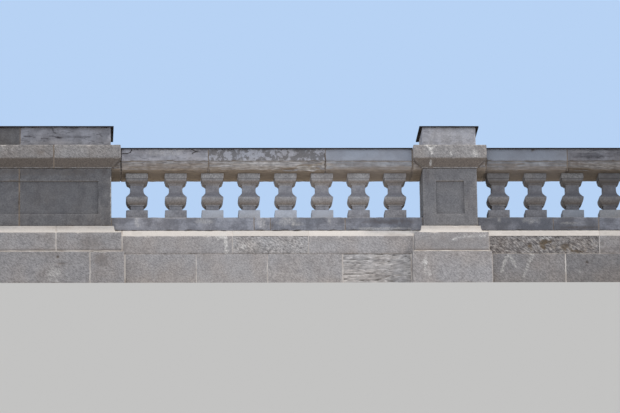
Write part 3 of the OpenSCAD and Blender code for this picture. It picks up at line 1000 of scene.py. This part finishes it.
# %% Joints
STONES = {
    "left_pier_lower_course": [
        ("tooled", -0.36), (-5.550, 7), ("tooled", -0.38), (-4.303, 7), ("tooled", -0.32),
    ],
    "left_pier_base_course": [
        ("tooled", -0.25), (-5.680, 8), ("tooled", -0.22), (-4.704, 8), ("tooled", -0.25),
    ],
    "left_pier_die": [("panel", -0.1), (-5.140, 9), ("panel", -0.2)],
    "left_pier_cap": [("capped", 0.0), (-5.620, 8), ("capped", -0.34), (-4.730, 8), ("capped", -0.10)],
    "left_pier_blocking_stone": [("panel", -0.20), (-5.130, 3), ("veined", -0.32)],
    "left_bay_lower_course": [
        ("tooled", 0.03), (-3.040, 5), ("tooled", 0.16), (-2.195, 5), ("tooled", 0.15), (-1.300, 6),
        ("bedded", 0.22),
    ],
    "left_bay_base_course": [("tooled", 0.1), (-2.605, 4), ("pointed", 0.0), (-1.700, 4), ("tooled", 0.3)],
    "left_bay_bottom_rail": [
        ("sill", 0.0), (-2.346, 3), ("sill", 0.3), (-2.150, 3), ("sill", -0.25), (-1.258, 3), ("sill", -0.25),
    ],
    "left_bay_top_rail": [("veined", 0.12), (-2.885, 3), ("skinned", 0.20), (-1.486, 5), ("rubbed", 0.0)],
    "middle_pedestal_lower_course": [("tooled", 0.15)],
    "middle_pedestal_base_course": [("tooled", 0.12)],
    "middle_pedestal_die": [("panel", 0.5)],
    "middle_pedestal_cap": [("capped", 0.23)],
    "middle_pedestal_blocking_stone": [("veined", 0.50)],
    "right_bay_lower_course": [
        ("tooled", -0.58), (1.360, 6), ("tooled", -0.93), (2.330, 5), ("tooled", 0.1), (3.210, 5),
        ("tooled", 0.0),
    ],
    "right_bay_base_course": [("eroded", 0.0), (1.776, 4), ("tooled", -0.36), (2.860, 4), ("pointed", 0.0)],
    "right_bay_bottom_rail": [
        ("sill", -0.92), (1.235, 3), ("sill", -0.88), (1.780, 3), ("sill", -0.7), (2.960, 3), ("sill", 0.0),
    ],
    "right_bay_top_rail": [("rubbed", -0.6), (1.419, 5), ("veined", -0.9), (2.750, 3), ("skinned", 0.0)],
    "right_pier_lower_course": [("tooled", 0.0), (4.490, 7), ("tooled", -0.2), (5.660, 7), ("tooled", 0.1)],
    "right_pier_base_course": [("tooled", -0.1), (4.870, 8), ("pointed", -0.4), (5.720, 8), ("tooled", 0.0)],
    "right_pier_die": [("panel", 0.1), (5.120, 8), ("panel", -0.2)],
    "right_pier_cap": [("capped", 0.1), (4.760, 8), ("capped", 0.0), (5.600, 8), ("capped", 0.2)],
    "right_pier_blocking_stone": [("veined", -0.2), (5.140, 3), ("veined", -0.5)],
}
# The joints where a bay meets its piers, in millimetres. The left rail's first has lost its mortar.
END_JOINTS = {"lower_course": 14, "base_course": 14, "bottom_rail": 5, "top_rail": 7}
OPEN_END = "left_bay_top_rail"
# The finishes that some kinds of node have besides those of their faces.
SECOND = {"top_rail": ["laminated", "dusty"], "cap": ["laminated"], "base_course": ["washed"]}
print(sum(len(row) // 2 for row in STONES.values()), "joints between", len(STONES), "nodes' stones")

# %% Stones and mortar
total = 0
for node, row in STONES.items():
    low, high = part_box(node)
    kind = kind_of(node)
    stones, joints = row[::2], [(x, mm / 1000) for x, mm in row[1::2]]
    end = END_JOINTS[kind] / 1000 if "bay" in node else 0.0
    used = sorted({way for way, tone in stones} | set(SECOND.get(kind, [])))
    filling = mortars["pale" if "course" in kind else "brown"]
    starts = [low.x + end] + [x + wide / 2 for x, wide in joints]
    stops = [x - wide / 2 for x, wide in joints] + [high.x - end]
    parts = [
        stone(node, start, stop, way, used, tone, STEPS.get(way, usual_step))
        for (way, tone), start, stop in zip(stones, starts, stops)
    ]
    for x, wide in joints:
        hold = wide / 2 + overlap
        back = BACK["wide" if wide > wide_joint else "narrow"]
        parts.append(mortar_slice(node, x - hold, x + hold, len(used), back))
    if end:
        back = BACK["course end" if "course" in kind else "rail end"]
        parts.append(mortar_slice(node, high.x - end - overlap, high.x, len(used), back))
        back = BACK["lost"] if node == OPEN_END else back
        parts.append(mortar_slice(node, low.x, low.x + end + overlap, len(used), back))
    made = piece(node + "_stones", parts, [finishes[w] for w in used] + [filling])
    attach(made, "root")
    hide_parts(node)
    total += triangles(made)
    print(f"{made.name}: {len(stones)} stones, {triangles(made)} triangles")
print("triangles in the stones:", total, "after", round(time.time() - started, 1), "s")

# %% [markdown]
# ## Pointing on the ledge
#
# Each lower course stands a little proud of the course above it and makes a narrow ledge. So that
# water runs off, the mason lays a small sloped fillet of mortar in the corner. It catches the
# light and shows from below as a thin pale line, or as a dark one in the left bay, where it is sooty.

# %% Mortar fillets
# How high a fillet stands against a bay and against a pier, and how long its pieces are, in metres.
bay_rise, pier_rise, fillet_step = 0.009, 0.015, 0.03
# Its edge lies back from the ledge's by this share, give or take the next, and its height varies too.
edge_back, edge_ragged, rise_ragged = 0.10, 0.08, 0.25


def corners(low, high):
    """The four corners of a box, seen from above."""
    return [Vector(c) for c in ((low.x, low.y), (high.x, low.y), (high.x, high.y), (low.x, high.y))]


def fillet(outer, inner, foot, rise):
    """A three-sided bar of mortar from outer (its two ends at the edge) to inner (at the wall)."""
    points, faces = [], []
    count = max(2, round((outer[1] - outer[0]).length / fillet_step))
    for i in range(count + 1):
        edge = outer[0].lerp(outer[1], i / count)
        wall = inner[0].lerp(inner[1], i / count)
        edge = edge.lerp(wall, edge_back + edge_ragged * noise_at(edge.x * 9, edge.y * 9, 1))
        height = rise * (1 + rise_ragged * noise_at(wall.x * 7, wall.y * 7, 2))
        points += [(edge.x, edge.y, foot), (wall.x, wall.y, foot + height), (wall.x, wall.y, foot)]
        if i:
            a = 3 * (i - 1)
            faces += [[a + j, a + (j + 1) % 3, a + 3 + (j + 1) % 3, a + 3 + j] for j in range(3)]
    faces += [[0, 2, 1], [3 * count, 3 * count + 1, 3 * count + 2]]
    return {"points": points, "faces": faces, "slots": [0] * len(faces)}


for node in sorted(n for n in nodes if n.endswith("lower_course")):
    low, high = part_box(node)
    edge, wall = corners(low, high), corners(*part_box(node.replace("lower_course", "base_course")))
    sides, rise = [(0, 1), (1, 2), (2, 3), (3, 0)], pier_rise
    if "bay" in node:
        sides, rise = [(0, 1), (2, 3)], bay_rise
        for outer, inner in zip(edge, wall):
            inner.x = outer.x
    bars = [fillet((edge[a], edge[b]), (wall[a], wall[b]), high.z, rise) for a, b in sides]
    made = piece(node + "_pointing", bars, [mortars["brown" if node.startswith("left_bay") else "pale"]])
    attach(made, "root")
    print(f"{made.name}: {len(bars)} fillets, {round(rise * 1000)} mm high")

# %% [markdown]
# ## The balusters
#
# Most balusters are turned on a lathe. These are square: the same outline of block, waist, belly,
# neck and abacus is cut from the front and again from the side, and the mouldings meet in a mitre at
# the four corners. The outline is read up one mitred corner of the CAD solid. A ring of points is then
# laid at each height, closer at the corners, where the stone wears first.

# %% The balusters' heights and tones
# Heights in metres, going up. The shoulder's arris has weathered round. Soot and the painted shade of
# the rail grow over 30 mm from where they begin, and a band just below the abacus is painted with its shade.
block_top = 0.978
shoulder = 1.152
soot_and_shade_foot, soot_and_shade_rise = 1.280, 0.03
neck_head = 1.293
abacus_shade_foot = 1.364
abacus_foot = 1.372
# The abacus is wider than this from the axis, and the members below it are narrower.
abacus_half = 0.131
# The painted shade just below the abacus, and the dirt on the flare and the neck.
abacus_shade, neck_grime = 0.3, 0.09
# The heights between which the rain reaches a baluster and it is painted bluer with skylight: block and
# waist, then flare and neck.
RINSED_AND_SKY_LIT = [(0.865, 1.040), (shoulder, neck_head)]
# How far the arrises have worn back, how far from them the wear reaches, and how close the rings are.
baluster_wear, baluster_reach, ring_step = 0.003, 0.012, 0.012
# How much a slope counts in the direction in which its points wear back.
slope_share = 1.2
# A run of the outline longer than the first gets points this close to its ends.
long_run, run_end = 0.020, 0.004
# The shoulder is rounded by this much, over this height up and down.
rounded, rounded_over = 0.008, 0.014
# Where the points of a side lie between its corners, at -1 and 1. The next side begins at 1.
ALONG = [-1, -0.96, -0.88, -0.66, -0.4, -0.13, 0.13, 0.4, 0.66, 0.88, 0.96]
# The four sides, as the cosine and the sine of their turn.
TURNS = [(1, 0), (0, 1), (-1, 0), (0, -1)]
# From the pedestal outwards: each baluster's tone, the lime (above 0) or dirt (below 0) on its block,
# the soot and painted shade of the rail on its head, and how much paler its abacus is painted. The
# last four of the right bay are not in the photograph.
BALUSTERS = {
    "left_bay": {
        "tone": (0.0, 0.36, 0.45, 0.20, -0.02, -0.02, -0.12, -0.30),
        "block": (0.12, 0.02, -0.24, 0.0, 0.0, 0.0, 0.02, 0.06),
        "soot_and_shade": (0.08, 0.0, 0.0, 0.0, 0.0, 0.0, 0.0, 0.10),
        "abacus": (0.07, 0.14, 0.03, 0.10, 0.07, 0.30, 0.10, 0.35),
    },
    "right_bay": {
        "tone": (-0.52, -0.74, -1.0, -1.0, -0.60, -0.45, -0.55, -0.40),
        "block": (0.03, 0.0, 0.0, 0.36, 0.0, 0.0, 0.0, 0.0),
        "soot_and_shade": (0.28, 0.12, 0.10, 0.34, 0.30, 0.10, 0.20, 0.10),
        "abacus": (0.09, 0.15, 0.45, 0.10, 0.10, 0.15, 0.10, 0.15),
    },
}
# Those whose blocks are rinsed paler than the rest, with painted skylight too.
BLEACHED_AND_SKY_LIT = [f"left_bay_baluster_{i}" for i in (3, 4, 5, 6)] + [f"right_bay_baluster_{i}" for i in (3, 4)]
print(sum(len(rows["tone"]) for rows in BALUSTERS.values()), "balusters,", len(BLEACHED_AND_SKY_LIT), "of them bleached")

# %% Balusters


def corner_outline(node):
    """Height and half width of a square baluster, foot to head."""
    low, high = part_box(node)
    middle = (low + high) / 2
    found = set()
    for v in nodes[node].data.vertices:
        dx, dy = v.co.x - middle.x, v.co.y - middle.y
        if dx > 0 and abs(dx - dy) < 0.0002:
            found.add((round(v.co.z, 5), round(dx, 5)))
    path = [max((p for p in found if abs(p[0] - min(found)[0]) < 1e-5), key=lambda p: p[1])]
    found.discard(path[0])
    while found:
        z = min(p[0] for p in found)
        level = sorted(p for p in found if p[0] - z < 1e-5)
        level.sort(key=lambda p: abs(p[1] - path[-1][1]))
        path += level
        found -= set(level)
    return middle, path


def finer(path, step):
    """The outline with long runs divided, and a point close to each end of a run."""
    full = [path[0]]
    for (z0, r0), (z1, r1) in zip(path, path[1:]):
        length = math.hypot(z1 - z0, r1 - r0)
        count = max(1, round(length / step))
        shares = {i / count for i in range(1, count)}
        if length > long_run:
            shares |= {run_end / length, 1 - run_end / length}
        full += [(z0 + (z1 - z0) * s, r0 + (r1 - r0) * s) for s in sorted(shares | {1.0}) if s > 0]
    return full


def mark_at(z, r, block, soot_and_shade, abacus):
    """The lime, dirt, soot and painted shade at one height of a baluster, and the paler paint of an abacus.
    """
    if z < block_top + 0.001:
        return block
    if z > abacus_foot and r > abacus_half:
        return abacus - soot_and_shade
    # Just below the abacus a band is painted with its shade, the flare and neck get dirt, and higher up soot
    # and the rail's painted shade darken the head.
    darkening = abacus_shade if z > abacus_shade_foot and r < abacus_half else 0.0
    if shoulder + 0.02 < z < neck_head:
        darkening = neck_grime
    return -darkening - soot_and_shade * clamp((z - soot_and_shade_foot) / soot_and_shade_rise)


def baluster_part(node, lot, block, soot_and_shade, abacus):
    """The points and faces of one worn baluster."""
    middle, path = corner_outline(node)
    path = finer(path, ring_step)
    ring = len(TURNS) * len(ALONG)
    points, near, normals = [], [], []
    for k, (z, r) in enumerate(path):
        before, after = path[max(0, k - 1)], path[min(len(path) - 1, k + 1)]
        rise, run = after[0] - before[0], after[1] - before[1]
        lean = -run / (math.hypot(rise, run) or 1.0)
        for c, s in TURNS:
            for share in ALONG:
                x, y = share * r, -r
                points.append((middle.x + x * c - y * s, middle.y + x * s + y * c, z))
                out = (-1.0, -1.0) if share == -1 else (0.0, -1.0)
                n = Vector((out[0] * c - out[1] * s, out[0] * s + out[1] * c, lean * slope_share))
                normals.append(n.normalized())
                near.append(max(0.0, 1 - (1 - abs(share)) * r / baluster_reach))
    faces = [list(range(ring))[::-1], list(range((len(path) - 1) * ring, len(path) * ring))]
    slots = [1, 0]
    block_slot = 2 if node in BLEACHED_AND_SKY_LIT else 1
    for k in range(len(path) - 1):
        for i in range(ring):
            j = (i + 1) % ring
            faces.append([k * ring + i, k * ring + j, (k + 1) * ring + j, (k + 1) * ring + i])
            height = (path[k][0] + path[k + 1][0]) / 2
            rinsed_and_sky_lit = any(low < height < high for low, high in RINSED_AND_SKY_LIT)
            slots.append(block_slot if height < block_top else 1 if rinsed_and_sky_lit else 0)
    foot, head = path[0][0], path[-1][0]
    rounding = [rounded * max(0.0, 1 - abs(p[2] - shoulder) / rounded_over) for p in points]
    return {
        "points": wear(points, normals, near, ["turned"] * len(points), lot, rounding, baluster_wear),
        "faces": faces,
        "slots": slots,
        "lot": [lot] * len(points),
        "arris": near,
        "rise": [(p[2] - foot) / (head - foot) for p in points],
        "mark": [mark_at(z, r, block, soot_and_shade, abacus) for z, r in path for _ in range(ring)],
    }


for node in sorted(n for n in nodes if "baluster" in n):
    bay, place = node.split("_baluster_")
    worked = [row[int(place) - 1] for row in BALUSTERS[bay].values()]
    used = [finishes["turned"], finishes["rinsed_and_sky_lit"], finishes["bleached_and_sky_lit"]]
    made = piece(node + "_stone", [baluster_part(node, *worked)], used)
    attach(made, "root")
    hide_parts(node)
print("a baluster has", triangles(made), "triangles")

# %% [markdown]
# ## The flashings
#
# A flashing is a sheet of metal folded over the edge of the stone to shed water. Thin sheet is never
# quite flat once it has been nailed and walked on, so its CAD solid is divided along its length and
# bent gently up and down.

# %% Flashings
# The sheet is divided at this step. Its folded edge ripples by up to this much and its top dips by
# this much, in metres. The top is what lies this close to the highest point.
sheet_step, ripple_height, dip, top_band = 0.050, 0.003, 0.0015, 0.006
for node in sorted(n for n in nodes if "flashing" in n):
    bm = blank(node)
    low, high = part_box(node)
    score(bm, 0, lines_between(low.x, high.x, sheet_step, []))
    for v in bm.verts:
        wave = noise_at(v.co.x * 1.7, v.co.y * 3.0, 4.0)
        ripple = noise_at(v.co.x * 9.0, v.co.y * 5.0, 9.0)
        v.co.z += ripple_height * ripple if v.co.z < high.z - top_band else -dip * abs(wave)
    made = bpy.data.objects.new(node + "_sheet", bpy.data.meshes.new(node + "_sheet"))
    bm.to_mesh(made.data)
    bm.free()
    made.data.materials.append(sheet)
    scene.collection.objects.link(made)
    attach(made, "root")
    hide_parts(node)
print("flashings done after", round(time.time() - started, 1), "s")
